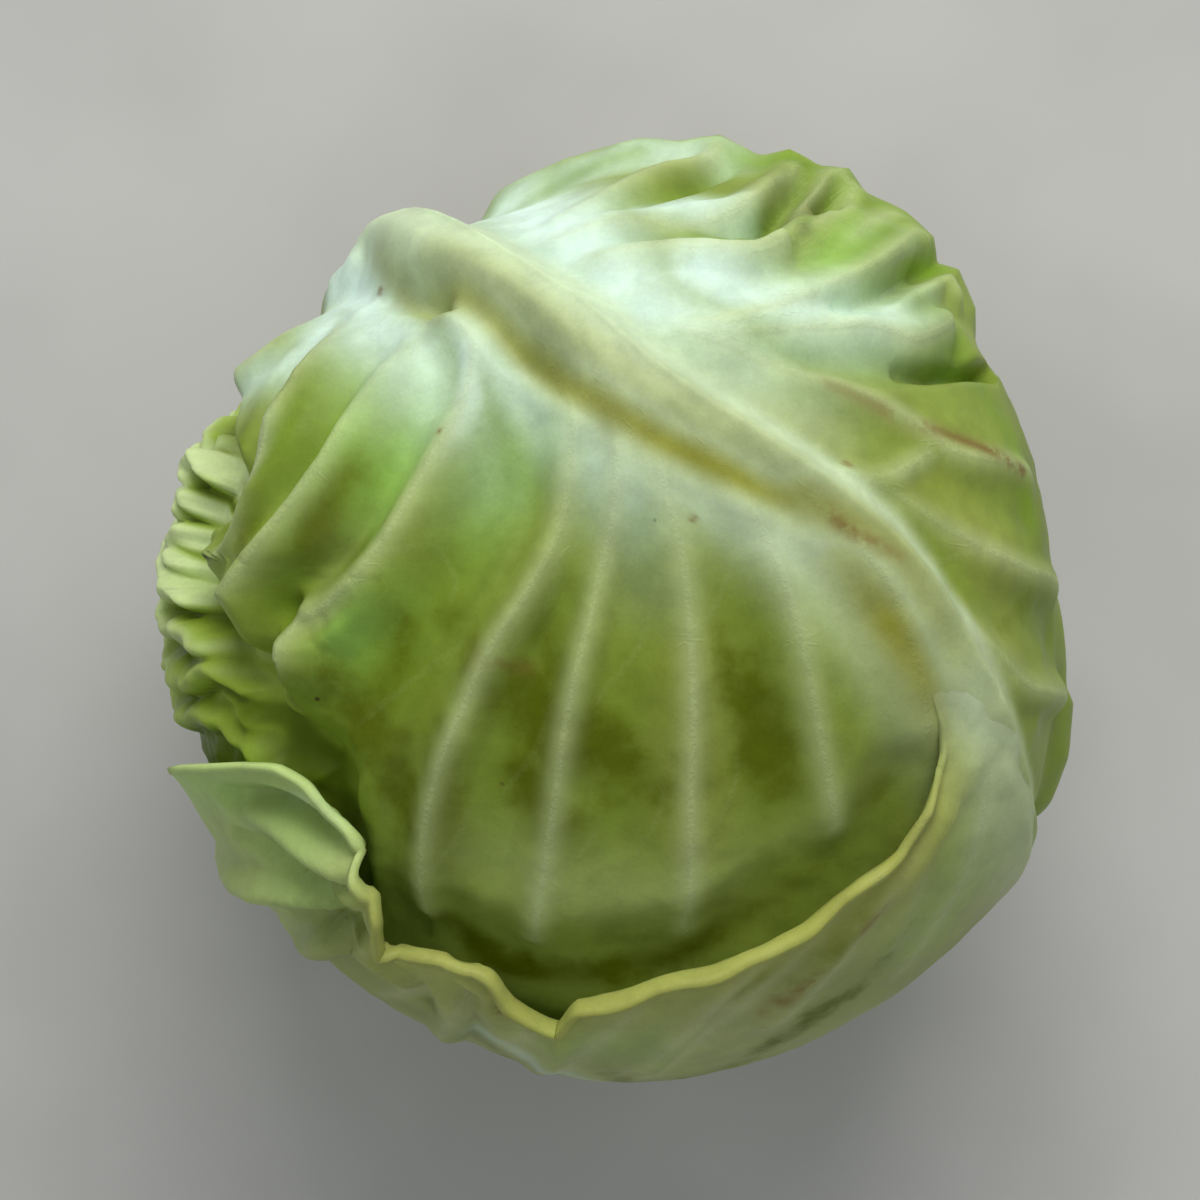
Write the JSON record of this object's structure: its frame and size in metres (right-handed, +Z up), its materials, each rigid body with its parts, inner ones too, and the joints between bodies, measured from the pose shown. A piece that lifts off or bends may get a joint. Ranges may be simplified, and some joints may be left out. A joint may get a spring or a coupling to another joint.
{
  "type": "green cabbage",
  "caption": "A round green cabbage lying on its side: a firm head and cut stem wrapped in thick-ribbed, folded outer leaves, with a free leaf lip across the front.",
  "frame": {"origin": "Centre of the footprint on the surface the cabbage lies on, at the height of that surface.", "axes": "+Z is up and is the shortest side of the cabbage's box. Seen from above, +X is to the right of the picture and +Y to its top; the cut stem points down and back to the left, near azimuth 122 degrees."},
  "size_m": [0.182, 0.187, 0.1527],
  "materials": {
    "head": "smooth, faintly waxy closed leaves",
    "stem": "dry cut stem, matt",
    "top_leaf": "satin, waxy leaf with pale ribs and olive hollows",
    "left_leaf": "satin, thin crumpled leaf",
    "right_leaf": "satin, waxy leaf",
    "under_leaf": "satin, waxy leaf"
  },
  "bodies": {
    "root": {"head": "head", "stem": "stem", "top_leaf": "top_leaf", "left_leaf": "left_leaf", "right_leaf": "right_leaf", "under_leaf": "under_leaf"}
  },
  "joints": []
}
